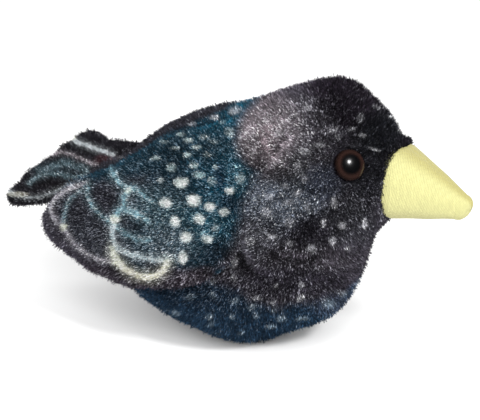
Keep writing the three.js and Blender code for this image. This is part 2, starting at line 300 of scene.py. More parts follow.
# ---- flaps: wings and tail -----------------------------------------------------
def closed_line(pts, count=240):
    p = np.array(pts, float)
    n = len(p)
    out = []
    for i in range(n):
        p0, p1, p2, p3 = p[i - 1], p[i], p[(i + 1) % n], p[(i + 2) % n]
        for t in np.arange(12) / 12:
            out.append(0.5 * (2 * p1 + (p2 - p0) * t + (2 * p0 - 5 * p1 + 4 * p2 - p3) * t ** 2
                              + (3 * p1 - p0 - 3 * p2 + p3) * t ** 3))
    out = np.array(out)
    step = np.r_[0, np.cumsum(np.linalg.norm(np.diff(np.vstack([out, out[:1]]), axis=0), axis=1))]
    s = np.linspace(0, step[-1], count, endpoint=False)
    full = np.vstack([out, out[:1]])
    return np.stack([np.interp(s, step, full[:, 0]), np.interp(s, step, full[:, 1])], 1)


class Flap:
    """A closed cushion over a star-shaped outline. phi goes round it, 0 to 1,
    and psi from the outer middle, 0, over the rim, pi/2, to the inner middle, pi."""

    def __init__(self, outline, centre, place, inset):
        c = np.array(centre, float)
        d = outline - c
        r = np.linalg.norm(d, axis=1)
        self.full = outline
        self.outline = c + d * (1 - np.minimum(inset(outline), r * 0.5) / r)[:, None]
        self.centre, self.place = c, place
        self.ring = np.vstack([self.outline, self.outline[:1]])
        self.t = np.linspace(0, 1, len(self.ring))

    def rim(self, phi):
        q = np.mod(phi, 1)
        return np.stack([np.interp(q, self.t, self.ring[:, 0]), np.interp(q, self.t, self.ring[:, 1])], -1)

    def uv(self, phi, psi):
        f = np.sin(psi)
        return self.centre + (self.rim(phi) - self.centre) * f[..., None]

    def __call__(self, phi, psi):
        f = np.clip(np.sin(psi), 0, 1)
        k = np.sign(np.cos(psi)) * np.sqrt(np.maximum(0, 1 - f ** 6))
        uv = self.uv(phi, psi)
        return self.place(uv[..., 0], uv[..., 1], k)


WING_OUTLINE = [
    [5, 71], [-8, 66.5], [-18, 60], [-27, 50.5], [-39, 39], [-49, 24], [-56, -2],
    [-57.5, -19], [-54.5, -33], [-47, -39], [-37, -38], [-25, -29], [-14.6, -19],
    [-5, -11.5], [2.8, -5], [8.5, 1.5], [13.6, 13], [15.4, 26], [17.2, 36],
    [20.2, 43], [16.6, 56],
]
WING_HALF, WING_TOP, WING_PILE, WING_CLOTH = 2.2, 0.5, 2.08, 1.6
PER_DEGREE = 0.5


def wing_surface(u, v, k, pile):
    a = np.radians(v / PER_DEGREE)
    p = loft_point(u, a, 0.0, bed_cols)
    du = loft_point(u + 0.5, a, 0.0, bed_cols) - loft_point(u - 0.5, a, 0.0, bed_cols)
    dv = loft_point(u, a + 0.01, 0.0, bed_cols) - loft_point(u, a - 0.01, 0.0, bed_cols)
    n = unit(np.cross(du, dv))
    flip = (n[..., 1] * p[..., 1] + n[..., 2] * (p[..., 2] - 38)) < 0
    n = np.where(flip[..., None], -n, n)
    outer = mix(2 * WING_HALF, 2 * WING_TOP, smooth(35, 80, v / PER_DEGREE)) + 0.3 - pile
    # the sewn front edge dips into the fold behind the breast
    ahead = ahead_of_wing(u, a)
    outer = outer - 2.6 * smooth(-6, 0.5, ahead) * smooth(-4, 12, v / PER_DEGREE)
    # soft uneven lumps over the whole flap
    outer = outer + 0.35 * noise(p, 9, 8) + 0.2 * noise(p, 4.5, 9)
    inner = outer - WING_CLOTH
    off = (outer + inner) / 2 + k * (outer - inner) / 2
    return p + n * off[..., None]


def wing_inset(o):
    front = smooth(4, 12, o[:, 0]) * smooth(-2, 8, o[:, 1] / PER_DEGREE)
    top = smooth(45, 62, o[:, 1] / PER_DEGREE)
    low = smooth(-12, -30, o[:, 1] / PER_DEGREE) * smooth(-56, -46, o[:, 0])
    low = low * (2.6 + 3.4 * np.exp(-((o[:, 0] + 37) / 6) ** 2) - 1.6 * np.exp(-((o[:, 0] + 21) / 5) ** 2))
    return (1.9 + low) * (1 - front) * (1 - 0.8 * top) - 0.5 * np.maximum(front, top)


wing_line = closed_line([[x, a * PER_DEGREE] for x, a in WING_OUTLINE])
wing_near = Flap(wing_line, (-18, 10), lambda u, v, k: wing_surface(u, v, k, WING_PILE), wing_inset)

TAIL = dict(x=-37.1, z=49.2, yaw=13.5, pitch=9.9, roll=24.5, length=41.0, root=11.2,
            end=15.6, half=3.0, lobes=4, lobe=1.5, skew=2.2, near=2.2)
_y, _p, _r = (math.radians(TAIL[k]) for k in ("yaw", "pitch", "roll"))
T_ALONG = np.array([-math.cos(_y) * math.cos(_p), math.sin(_y) * math.cos(_p), -math.sin(_p)])
_level = unit(np.array([0, 1.0, 0]) - T_ALONG * T_ALONG[1])
_up = unit(np.cross(_level, T_ALONG))
_up = _up if _up[2] > 0 else -_up
T_ACROSS = _level * math.cos(_r) + _up * math.sin(_r)
T_NORMAL = _up * math.cos(_r) - _level * math.sin(_r)
TAIL_PILE = 1.72


def tail_half(s):
    return mix(TAIL["root"], TAIL["end"], np.clip((np.asarray(s, float) + 1) / TAIL["length"], 0, 1))


def tail_outline():
    pts, steps, ends, long = [], 7, 24, TAIL["length"]
    for i in range(steps):
        s = (long - 4) * i / steps
        pts.append([s, -float(tail_half(s))])
    for i in range(ends + 1):
        t = -1 + 2 * i / ends
        lobe = abs(math.sin(math.pi * TAIL["lobes"] * (t + 1) / 2)) ** 0.6
        corner = 1 - abs(t) ** 9
        s = long - 3 + 3 * corner + TAIL["lobe"] * (lobe - 0.5) * min(1, corner * 3)
        pts.append([s, t * float(tail_half(s))])
    for i in range(steps - 1, -1, -1):
        s = (long - 4) * i / steps
        pts.append([s, float(tail_half(s))])
    for t in (0.6, 0.2, -0.2, -0.6):
        pts.append([-2.2, t * float(tail_half(0))])
    return closed_line(pts, 320)


def tail_surface(s0, t0, k, pile=TAIL_PILE):
    f = smooth(0, TAIL["length"], s0)
    s = s0 - TAIL["skew"] * f * t0 / TAIL["end"]
    t = t0 - TAIL["near"] * f * (1 - t0 / TAIL["end"]) * 0.5
    thick = TAIL["half"] * (1 - 0.22 * smooth(10, TAIL["length"], s)) - pile
    # stitched lines between the feathers draw the flap in
    ray = np.abs(((t0 / tail_half(s0) + 1) * 2) % 1 - 0.5) * 2
    groove = 0.55 * smooth(0.72, 1.0, ray) * smooth(8, 16, s0)
    root = np.array([TAIL["x"], 0, TAIL["z"]])
    p = root + s[..., None] * T_ALONG + t[..., None] * T_ACROSS
    lift = 0.35 * noise(p, 9, 14) - groove * np.sign(k)
    return p + (k * thick + lift)[..., None] * T_NORMAL


tail = Flap(tail_outline(), (TAIL["length"] * 0.5, 0), tail_surface,
            lambda o: 2.0 - 4.2 * np.exp(-((o[:, 0] - 28.5) / 6.0) ** 2) * smooth(5, 9, o[:, 1])
            + 4.3 * smooth(33, 40, o[:, 0]) * smooth(-3, 9, o[:, 1])
            - 1.3 * smooth(12, 26, o[:, 0]) * smooth(39, 33, o[:, 0]) * smooth(-6, -11, o[:, 1]))


# ---- printed markings -----------------------------------------------------------
CHARCOAL = lin(62, 59, 67)
CROWN_PRINT_AND_SHADE = lin(29, 25, 32)
NAPE = lin(126, 118, 124)
SHOULDER = lin(94, 90, 98)
BREAST = lin(108, 116, 129)
CHEEK = lin(78, 84, 100)
FACE = lin(41, 41, 48)
THROAT = lin(54, 54, 60)
PLUM = lin(48, 45, 54)
BREAST_LOW = lin(68, 64, 71)
BELLY = lin(32, 50, 68)
BELLY_FRONT = lin(50, 59, 74)
TEAL = lin(24, 73, 92)
TEAL_HAZE = lin(66, 110, 127)
TEAL_DARK = lin(26, 50, 63)
REAR = lin(56, 56, 64)
REAR_DARK = lin(38, 36, 44)
BROWN = lin(60, 54, 62)
MAUVE = lin(76, 68, 78)
SPINE_PRINT_AND_SHADE = lin(40, 40, 46)
CREAM = lin(232, 228, 206)
PALE = lin(186, 194, 198)
ICE = lin(128, 158, 168)
ROSE = lin(152, 144, 150)
TAIL_DARK = lin(34, 33, 38)
TAIL_RED = lin(60, 36, 41)

# soft pale spots of the head, breast and belly: u, v, half width, half height, strength
BODY_SPOTS = [
    (303, 150, 6, 4.5, .85), (317, 143, 7, 3.5, .65), (296, 165, 5, 4, .45), (303, 178, 3, 5, .4),
    (253, 157, 6, 6, .4), (267, 156, 6, 4, .5), (333, 128, 5, 4, .35), (339, 136, 4, 4, .3), (351, 127, 5, 3, .3),
    (363, 134, 4, 3, .3), (361, 116, 4, 4, .22), (375, 148, 6, 2, .4), (281, 133, 6, 4, .3), (305, 106, 5, 5, .3),
    (289, 203, 5, 3, .5), (298, 194, 5, 4, .7), (268, 198, 6, 4, .4), (283, 186, 6, 4, .45), (335, 204, 3.6, 6, .7),
    (307, 208, 4, 5, .35), (266, 214, 6, 5, .55), (288, 221, 6, 5, .4), (323, 224, 3.6, 4.5, .6),
    (344, 226, 4, 4, .6), (365, 225, 3, 4, .75), (271, 238, 6, 4, .65), (248, 243, 6, 5, .4), (290, 246, 5, 4, .35),
    (313, 250, 4.5, 5, .45), (333, 243, 4, 6, .5), (349, 249, 3.5, 3.5, .35), (233, 260, 4.5, 8, .5),
    (233, 278, 3.5, 5, .38), (190, 297, 5, 3.5, .4), (213, 296, 4, 4, .35), (213, 283, 4, 4, .25),
    (175, 314, 5, 3, .7), (208, 318, 4, 3.5, .4), (209, 326, 4, 3, .3), (231, 318, 3.5, 3, .6), (240, 335, 4, 3, .35),
    (214, 337, 6, 2.5, .5), (235, 302, 4.5, 4, .5), (253, 309, 4, 4, .35), (256, 318, 4, 4, .35),
    (255, 298, 4, 2.5, .35), (272, 303, 4, 2, .35), (275, 287, 3, 3, .4), (274, 311, 4, 3, .3),
    (281, 319, 5.5, 3, .7), (300, 321, 7, 2.2, .8), (271, 328, 5, 2.6, .7), (302, 300, 4, 4, .4),
    (303, 286, 4, 3, .35), (343, 294, 6, 4, .4), (330, 305, 6, 6, .4),
]
# pale marks along the top of the mantle, over the wing and the back alike
MANTLE_SPOTS = [
    (154, 158, 5, 3.5, .5), (174, 147, 4.5, 2.5, .55), (180, 133, 4, 2.2, .5), (187, 139, 5.5, 2.8, .7),
    (195, 147, 5.5, 2.6, .72), (186, 155.5, 4.6, 3, .72), (171.5, 168, 5.6, 4.4, .65), (193, 165, 5, 3.6, .65),
    (206, 154, 5, 2.6, .35), (198, 175, 6, 4, .65), (215, 167, 3.6, 3, .5), (228, 132, 5, 5, .35),
    (211, 181, 4.5, 5, .35), (204, 137, 6, 3, .25), (213, 141, 5, 3, .2), (234, 108, 6, 5, .4), (213, 115, 6, 3, .4),
    (190, 122, 5, 2.4, .3), (163, 140, 5, 2, .3), (222, 122, 4, 2.5, .2),
]
# the wing's cream spots
WING_SPOTS = [
    (180.5, 183, 6.8, 5.8, 1.0), (193, 201, 7, 6.4, 1.0), (164, 203, 6.4, 5.6, 1.0), (209, 206, 5.6, 4.6, 1.0),
    (223, 212.5, 5.4, 4.2, .8), (229, 191, 5.4, 4.2, 1.0), (173.5, 222, 5, 5.6, 1.0), (198, 219, 5.6, 5.2, .95),
    (185, 237, 6, 5, 1.0), (207, 238.5, 6, 4.6, .7), (181.5, 257, 4.8, 6.6, .9), (240, 179, 5, 6, .3),
    (214, 228, 4, 4, .25), (160, 180, 4, 3, .2),
]
# feather edges printed on the wing: points, width, colour, strength
WING_LINES = [
    ([(84, 183), (70, 187.5), (57.7, 195.6), (51, 204.3), (49.8, 213), (55, 223.5), (62, 227.5)], 2.7, ROSE, .95),
    ([(62.6, 228), (66.5, 235), (75.3, 245.6), (84, 253.5), (96.4, 259.7), (109, 263)], 2.5, ROSE, .85),
    ([(84, 186.8), (71.8, 197.3), (65.6, 206), (63.3, 214.9), (63.5, 224)], 2.0, ICE, .45),
    ([(88, 183), (85.8, 193.8), (89.3, 204.3), (96.4, 213), (105, 219.3), (112, 222)], 2.5, ICE, .6),
    ([(110.5, 167), (114.8, 178), (121, 185), (126, 190.5), (122.7, 197.3), (121.8, 206), (117.5, 211.5), (113.5, 219)],
     3.2, ICE, .85),
    ([(126, 190.5), (130.5, 189.2), (136, 190.5), (143.8, 195.5), (150.8, 203)], 3.0, ICE, .75),
    ([(117.5, 211.5), (126, 210.3), (135, 214.5), (146, 221)], 4.0, ICE, .8),
    ([(113.5, 219), (114.5, 226), (124.5, 234.2), (135, 239.5), (148, 240.5)], 3.5, ICE, .65),
    ([(113.5, 221), (110.6, 232), (112.2, 241.2), (117.5, 248.3), (128, 254.4), (140.3, 258), (154.4, 260.6), (166, 260)],
     3.2, PALE, .8),
    ([(111, 249), (112.5, 257), (117.5, 263), (124.5, 269.4), (133.3, 274.4), (145.6, 276.7), (156, 275.3), (164, 269.2),
      (166.3, 262)], 3.6, CREAM, 1.0),
]
WING_NODES = [(62.6, 228, 4.2, 4.2, .85), (114.5, 261, 5, 6.5, .9), (113.5, 219.5, 5, 5, .85), (126, 190.5, 4, 3.6, .5)]
TAIL_LINES = [
    ([(69, 136), (73, 138.5), (78.8, 142), (87.6, 145.5), (96.4, 149), (106, 152.5), (112, 155)], 2.6, PALE, .8),
    ([(51, 153.6), (59.5, 151.4), (68.3, 153.4), (78.8, 157.8), (89.3, 162.2), (97, 164.5)], 1.9, ROSE, .65),
    ([(38, 172), (49, 167), (63, 162), (74, 165.5), (86, 168)], 4.4, ICE, .22),
    ([(27.8, 183.3), (38.4, 176.2), (54.2, 174), (75, 176), (88, 172)], 2.0, ICE, .38),
    ([(8, 191), (17.5, 195.6), (31.4, 197.6), (48.9, 193.4), (63, 187.4), (75.3, 181.5), (87.6, 177), (98, 172.7)],
     2.3, PALE, .6),
]


def spots_at(uv, table):
    """The strongest of a table of soft-edged spots at each place."""
    out = np.zeros(uv.shape[:-1])
    for u, v, ru, rv, k in table:
        d = np.hypot((uv[..., 0] - u) / ru, (uv[..., 1] - v) / rv)
        out = np.maximum(out, k * (1 - smooth(0.30, 1.30, d)))
    return out


def spots_in_space(p, cell, radius, seed):
    """Soft spots on a jittered lattice, for the parts that the tables don't reach."""
    q = np.asarray(p, float) / cell + 500
    base = np.floor(q)
    out = np.zeros(q.shape[:-1])
    for dx in (-1, 0, 1):
        for dy in (-1, 0, 1):
            for dz in (-1, 0, 1):
                c = base + np.array([dx, dy, dz])
                ci = c.astype(np.int64)
                j = np.stack([hashed(ci[..., 0], ci[..., 1], ci[..., 2], seed + m) for m in range(3)], -1)
                d = np.linalg.norm(q - (c + 0.15 + 0.7 * j), axis=-1) * cell
                out = np.maximum(out, 1 - smooth(radius * 0.35, radius, d))
    return out


def oval(uv, cu, cv, ru, rv, soft=0.5):
    d = np.hypot((uv[..., 0] - cu) / ru, (uv[..., 1] - cv) / rv)
    return 1 - smooth(1 - soft, 1 + soft, d)


def wobbled(p, uv, far, near, seed):
    """uv with the wavering of a print on pile."""
    a = np.stack([noise(p, 7, seed), noise(p, 7, seed + 1)], -1)
    b = np.stack([noise(p, 2.2, seed + 2), noise(p, 2.2, seed + 3)], -1)
    return uv + far * a + near * b


def mantle(uv):
    """1 on the teal of back and wing, 0 in front of its edge."""
    u, v = uv[..., 0], uv[..., 1]
    edge = np.interp(v, [100, 110, 120, 130, 140, 150, 160, 166, 172, 180, 190, 200, 210, 225, 240, 250, 260, 270],
                     [252, 245, 239, 235, 234, 236, 239, 246, 254, 251, 247, 241, 238, 236, 232, 229, 222, 213])
    return 1 - smooth(-9, 10, u - edge)


def mottle(p, c, strength=1.0):
    return c * np.exp(strength * (0.22 * noise(p, 3.4, 35) + 0.30 * noise(p, 1.5, 36) + 0.34 * noise(p, 0.75, 37)))[..., None]


def front_tint(uv):
    """Head and breast, in front of the mantle."""
    c = np.broadcast_to(CHARCOAL, uv.shape[:-1] + (3,)).copy()
    c = mix(c, SHOULDER, 0.85 * oval(uv, 292, 138, 34, 38, .5))
    c = mix(c, NAPE, oval(uv, 264, 134, 32, 36, .5))
    c = mix(c, lin(150, 134, 140), 0.6 * oval(uv, 268, 141, 9, 16, .7))
    c = mix(c, BREAST, 0.95 * oval(uv, 280, 203, 40, 29, .5))
    c = mix(c, lin(86, 86, 94), 0.8 * oval(uv, 258, 240, 24, 20, .6))
    c = mix(c, lin(70, 64, 68), 0.7 * oval(uv, 276, 172, 18, 9, .6))
    c = mix(c, lin(92, 92, 98), 0.7 * oval(uv, 300, 166, 14, 18, .6))
    c = mix(c, CHEEK, 0.9 * oval(uv, 322, 184, 20, 18, .5))
    c = mix(c, FACE, 0.9 * oval(uv, 368, 172, 26, 30, .5))
    c = mix(c, THROAT, 0.8 * oval(uv, 352, 224, 26, 24, .5))
    c = mix(c, PLUM, 0.9 * oval(uv, 308, 231, 26, 15, .5))
    c = mix(c, BREAST_LOW, 0.8 * oval(uv, 306, 260, 48, 12, .5))
    c = mix(c, PLUM, 0.9 * oval(uv, 285, 284, 66, 15, .5))
    # dark band along the top of the head and a darker patch over the forehead: partly print, partly painted shade where
    # the head turns away from the light
    crown, _ = line_distance(uv, [(322, 78), (338, 92), (352, 110), (374, 118), (392, 136), (408, 150)])
    c = mix(c, CROWN_PRINT_AND_SHADE, 1 - smooth(10, 30, crown))
    c = mix(c, lin(20, 22, 26), 0.85 * oval(uv, 380, 134, 24, 20, .5))
    cloud = np.stack([uv[..., 0], uv[..., 1], 0 * uv[..., 0]], -1)
    return c * np.exp(0.16 * noise(cloud, 17, 81) + 0.22 * noise(cloud, 8, 82))[..., None]


def body_tint(p, facing):
    """Printed colour of head and body at points p; facing is how squarely the
    flank plane sees each one."""
    uv = wobbled(p, flank(p), 2.6, 1.3, 21)
    u, v = uv[..., 0], uv[..., 1]
    c = front_tint(uv)
    # belly: dark blue-grey below a soft line, paler at the front
    line = np.interp(u, [100, 190, 215, 240, 250, 280, 310, 335, 355, 380],
                     [262, 276, 284, 292, 303, 310, 305, 296, 288, 270])
    low = smooth(-7, 7, v - line)
    c = mix(c, mix(BELLY, BELLY_FRONT, oval(uv, 336, 304, 24, 14, .6)), low)
    # the mantle, and behind it a dark strip along the top of the back: partly print, partly painted shade where the
    # back turns away from the light
    teal = mantle(uv) * (1 - low) * (1 - smooth(214, 240, v))
    c = mix(c, mix(TEAL_DARK, TEAL, 0.5 * smooth(205, 240, u)), teal)
    ridge = v - np.interp(u, [90, 132, 165, 200, 225, 250], [176, 155, 132, 115, 106, 98])
    c = mix(c, SPINE_PRINT_AND_SHADE, (1 - smooth(-3, 4, ridge)) * (1 - smooth(222, 240, u)))
    # spots: the tables where the plane sees the surface, a lattice elsewhere
    seen = smooth(0.10, 0.35, facing)
    spot = np.maximum(spots_at(uv, BODY_SPOTS) * (1 - teal), spots_at(uv, MANTLE_SPOTS) * (1 - smooth(225, 245, v))) * seen
    spot = np.maximum(spot, 0.4 * spots_in_space(p, 8.5, 1.9, 31) * (1 - seen))
    c = mix(c, mix(lin(206, 206, 212), lin(164, 184, 198), low), spot * mix(0.9, 0.58, low))
    return np.clip(mottle(p, c), 0.002, 1)


def wing_tint(p):
    uv = wobbled(p, flank(p), 1.2, 1.3, 41)
    u, v = uv[..., 0], uv[..., 1]
    c = np.broadcast_to(TEAL_DARK, p.shape).copy()
    c = mix(c, TEAL, 0.85 * smooth(176, 214, u) * (1 - smooth(232, 256, v)))
    c = mix(c, TEAL_HAZE, 0.25 * oval(uv, 232, 166, 11, 22, .6))
    c = mix(c, TEAL_DARK, 0.5 * oval(uv, 214, 140, 30, 18, .6))
    c = mix(c, TEAL_HAZE, 0.55 * oval(uv, 240, 180, 9, 12, .6))
    c = mix(c, TEAL_HAZE, 0.55 * oval(uv, 200, 226, 26, 20, .7))
    c = mix(c, TEAL_DARK, 0.7 * oval(uv, 206, 152, 9, 14, .6))
    c = mix(c, lin(22, 50, 72), 0.7 * oval(uv, 219, 176, 5, 12, .6))
    c = mix(c, lin(24, 52, 70), 0.8 * oval(uv, 228, 205, 9, 10, .6))
    c = mix(c, lin(26, 44, 58), 0.85 * oval(uv, 216, 255, 16, 16, .6))
    rear = 1 - smooth(118, 160, u + 0.28 * (v - 215))
    c = mix(c, REAR, rear * smooth(172, 190, v + 0.12 * (u - 100)))
    c = mix(c, lin(84, 98, 108), 0.8 * oval(uv, 168, 243, 24, 20, .6))
    c = mix(c, lin(66, 90, 100), 0.7 * oval(uv, 160, 206, 26, 20, .6))
    c = mix(c, REAR_DARK, 0.75 * oval(uv, 101, 196, 11, 13, .5))
    c = mix(c, REAR_DARK, 0.7 * oval(uv, 58, 209, 6, 11, .5))
    c = mix(c, REAR_DARK, 0.6 * oval(uv, 76, 213, 10, 14, .5))
    c = mix(c, lin(30, 40, 50), 0.6 * oval(uv, 139, 226, 12, 6, .6))
    edge, _ = line_distance(uv, [(46, 214), (53, 238), (72, 260), (98, 275), (125, 287), (150, 291), (178, 287), (204, 276)])
    c = mix(c, BROWN, 0.9 * (1 - smooth(7, 14, edge)))
    c = mix(c, MAUVE, 0.8 * oval(uv, 180, 277, 22, 9, .6))
    c = mix(c, lin(36, 32, 40), 0.8 * oval(uv, 153, 266.5, 11, 4.5, .5))
    # feather edges in a soft glow, then the spots
    for pts, width, colour, k in WING_LINES:
        d, along = line_distance(uv, rounded(pts, 4))
        line = 0.78 * (1 - smooth(width * 0.35, width * 1.15, d)) + 0.22 * (1 - smooth(width * 0.5, width * 3.2, d))
        c = mix(c, np.broadcast_to(colour, c.shape), k * line * (0.6 + 0.4 * smooth(0, 0.08, along)))
    c = mix(c, np.broadcast_to(CREAM, c.shape), spots_at(uv, WING_NODES))
    c = mix(c, np.broadcast_to(lin(186, 204, 204), c.shape), 0.9 * spots_at(uv, MANTLE_SPOTS))
    c = mix(c, np.broadcast_to(lin(244, 246, 240), c.shape), spots_at(uv, WING_SPOTS))
    small = spots_in_space(p, 5.2, 1.0, 47) * smooth(150, 190, u) * (1 - smooth(160, 190, v))
    c = mix(c, np.broadcast_to(ICE, c.shape), 0.25 * small)
    c = c * mix(np.array([1.08, 1.18, 1.20]), np.ones(3), np.maximum(smooth(258, 274, v), smooth(172, 150, v)))
    c = mix(front_tint(uv), c, np.maximum(mantle(uv), smooth(262, 274, v)))
    return np.clip(mottle(p, c), 0.002, 1)


def tail_tint(p):
    uv = wobbled(p, flank(p, mirror=False), 1.0, 0.7, 51)
    c = np.broadcast_to(TAIL_DARK, p.shape).copy()
    c = mix(c, lin(42, 58, 66), 0.5 * oval(uv, 56, 168, 22, 7, .6))
    c = mix(c, lin(24, 22, 26), 0.85 * oval(uv, 46, 183, 18, 4, .5))
    c = mix(c, lin(30, 29, 34), 0.8 * oval(uv, 98, 142, 24, 5, .5))
    c = mix(c, lin(28, 27, 32), 0.7 * oval(uv, 72, 148, 16, 3.5, .5))
    for pts, width, colour, k in TAIL_LINES:
        d, _ = line_distance(uv, rounded(pts, 4))
        line = 0.8 * (1 - smooth(width * 0.35, width * 1.15, d)) + 0.2 * (1 - smooth(width * 0.5, width * 3, d))
        c = mix(c, np.broadcast_to(colour, c.shape), k * line)
    c = mix(c, np.broadcast_to(CREAM, c.shape), 0.35 * oval(uv, 17, 194, 9, 2.6, .5))
    c = mix(c, np.broadcast_to(CREAM, c.shape), 0.5 * oval(uv, 71, 136.5, 4, 3, .5))
    c = mix(c, np.broadcast_to(TAIL_RED, c.shape), 0.85 * oval(uv, 106, 161, 12, 6.5, .5))
    return np.clip(mottle(p, c), 0.002, 1)


# ---- meshes ---------------------------------------------------------------------
def new_mesh(name, verts, faces, uv=None, tint=None, smooth_faces=True):
    """verts in loft millimetres; faces an (n, 3) or (n, 4) array; uv per corner."""
    me = bpy.data.meshes.new(name)
    n, k = faces.shape
    me.vertices.add(len(verts))
    me.vertices.foreach_set("co", shift(verts).astype(np.float32).ravel())
    me.loops.add(n * k)
    me.loops.foreach_set("vertex_index", faces.astype(np.int32).ravel())
    me.polygons.add(n)
    me.polygons.foreach_set("loop_start", (np.arange(n) * k).astype(np.int32))
    me.polygons.foreach_set("loop_total", np.full(n, k, np.int32))
    if smooth_faces:
        me.polygons.foreach_set("use_smooth", np.ones(n, bool))
    me.update(calc_edges=True)
    if uv is not None:
        layer = me.uv_layers.new(name="OFBake", do_init=False)
        layer.uv.foreach_set("vector", uv.astype(np.float32).ravel())
    if tint is not None:
        at = me.attributes.new("tint", "FLOAT_COLOR", "POINT")
        rgba = np.ones((len(verts), 4), np.float32)
        rgba[:, :3] = tint
        at.data.foreach_set("color", rgba.ravel())
    ob = bpy.data.objects.new(name, me)
    bpy.context.scene.collection.objects.link(ob)
    return ob


def grid_faces(rows, cols, wrap):
    i, j = np.meshgrid(np.arange(rows - 1), np.arange(cols if wrap else cols - 1), indexing="ij")
    j2 = (j + 1) % cols
    return np.stack([i * cols + j, i * cols + j2, (i + 1) * cols + j2, (i + 1) * cols + j], -1).reshape(-1, 4)


def surface_normals(surf, a, b, da, db):
    """Outward normals of surf(a, b) by small differences."""
    n = unit(np.cross(surf(a + da, b) - surf(a - da, b), surf(a, b + db) - surf(a, b - db)))
    return n


def tufts(name, roots, normals, lie, length, width, lean, tint_at, glint_share, place, seed,
          clump=0.24, wild=0.42, root_painted_shade=0.18, spread=0.50, brighten=1.22):
    """One coat piece: a sliver at each root, from a point on the cloth to its
    widest two thirds of the way up and a point again at the tip, where the
    print is read. The glint share, 0 to 1, is how many slivers there carry a
    painted glint; place is each root's position, 0 to 1, on the unwrap."""
    rng = np.random.default_rng(seed)
    n = len(roots)
    lie = unit(lie - normals * (lie * normals).sum(-1, keepdims=True))
    # painted glints: a few slivers get a pale, brightened colour that stands in for fibres catching the light
    chance = 0.02 + 0.12 * glint_share
    glint = rng.random(n) < chance
    proud = rng.random(n) < 0.12                 # one in eight stands proud
    # neighbours lean together, each sliver a little its own way
    curl = np.stack([noise(roots, 1.4, 1000 + m) for m in range(3)], -1)
    swirl = np.stack([noise(roots, 5.0, 1010 + m) for m in range(3)], -1)
    lean = np.clip(lean + rng.normal(0, 0.12, n), 0.05, 1.3)
    direction = unit(normals * np.cos(lean)[:, None] + lie * np.sin(lean)[:, None]
                     + clump * (0.5 * swirl + curl) + wild * rng.normal(0, 1, (n, 3)))
    out = (direction * normals).sum(-1, keepdims=True)
    direction = unit(direction + normals * np.maximum(0, 0.35 - out))
    direction = unit(direction + normals * (0.5 * proud + 0.9 * glint)[:, None])
    size = (length * np.clip(rng.normal(1, 0.13, n), 0.6, 1.35) * np.where(proud, 1.45, 1.0))[:, None]
    side = unit(np.cross(direction, normals + 1.2 * rng.normal(0, 1, (n, 3))))
    w = (width * rng.uniform(0.7, 1.3, n) * np.where(proud, 0.62, 1.0) * np.where(glint, 1.2, 1.0))[:, None]
    shoulder = roots + direction * size * rng.uniform(0.74, 0.94, (n, 1)) + side * w + normals * size * 0.04
    tip = roots + direction * size + lie * size * 0.05
    verts = np.stack([roots, shoulder, tip], 1)
    verts[..., 2] = np.maximum(verts[..., 2], FLOOR + 0.04 + 0.25 * rng.random((n, 1)))
    faces = np.arange(n * 3).reshape(-1, 3)
    # each sliver its own random tone, with painted shade at the root, the tip painted a little lighter and a few
    # painted glints; the mean stays the print's
    tint = tint_at(tip) * brighten
    level = tint.mean(-1, keepdims=True)
    keep = 1 - 0.8 * smooth(0.10, 0.55, level)
    gain = 1 + (rng.uniform(2.0, 6.5, n)[:, None] - 1) * keep
    rest = (1 - chance * (1 + 3.25 * keep[:, 0])) / (1 - chance)
    shade = np.exp(rng.normal(-0.5 * spread ** 2, spread, n)) * rest
    pale = level * np.array([1.0, 1.05, 1.10])
    c = np.where(glint[:, None], (0.45 * tint + 0.55 * pale) * gain, tint * shade[:, None])
    low = np.where(glint[:, None], tint * rest[:, None], c)
    # painted shade: the root corner darkened as if down in the pile, the tip corner a little lighter
    c3 = np.clip(np.stack([tint * (rest * root_painted_shade)[:, None], mix(low, c, 0.6), c * 1.15], 1), 0.0008, 0.92)
    # a small patch for each tuft at its root's place
    p = np.clip(place, 0.004, 0.996)
    s = 0.0014
    uv = np.stack([p + [-s, -s], p + [s, -s], p + [0, s]], 1).reshape(-1, 2)
    ob = new_mesh(name, verts.reshape(-1, 3), faces, uv=uv, tint=c3.reshape(-1, 3), smooth_faces=False)
    return ob


def scatter(surf, a0, a1, b0, b1, rows, cols, count, weight, seed):
    """Random places on surf, even by area times weight(a, b, p)."""
    rng = np.random.default_rng(seed)
    a = np.linspace(a0, a1, rows + 1)
    b = np.linspace(b0, b1, cols + 1)
    A, B = np.meshgrid(a, b, indexing="ij")
    P = surf(A, B)
    d1, d2 = P[1:, 1:] - P[:-1, :-1], P[:-1, 1:] - P[1:, :-1]
    area = np.linalg.norm(np.cross(d1, d2), axis=-1) / 2
    am, bm = (A[1:, 1:] + A[:-1, :-1]) / 2, (B[1:, 1:] + B[:-1, :-1]) / 2
    w = area * weight(am, bm, (P[1:, 1:] + P[:-1, :-1]) / 2)
    total = w.sum()
    cum = np.cumsum(w.ravel()) / total
    pick = np.searchsorted(cum, (np.arange(count) + rng.random(count)) / count)
    pick = np.minimum(pick, w.size - 1)
    i, j = np.unravel_index(pick, w.shape)
    return (a[i] + (a[1] - a[0]) * rng.random(count), b[j] + (b[1] - b[0]) * rng.random(count), total)


# ---- materials -------------------------------------------------------------------
def base_material(name):
    m = bpy.data.materials.new(name)
    m.use_nodes = True
    nt = m.node_tree
    bsdf = nt.nodes["Principled BSDF"]
    return m, nt, bsdf


def math_node(nt, op, a, b=None):
    n = nt.nodes.new("ShaderNodeMath")
    n.operation = op
    for i, x in enumerate((a, b)):
        if x is None:
            continue
        if isinstance(x, (int, float)):
            n.inputs[i].default_value = x
        else:
            nt.links.new(x, n.inputs[i])
    return n.outputs[0]


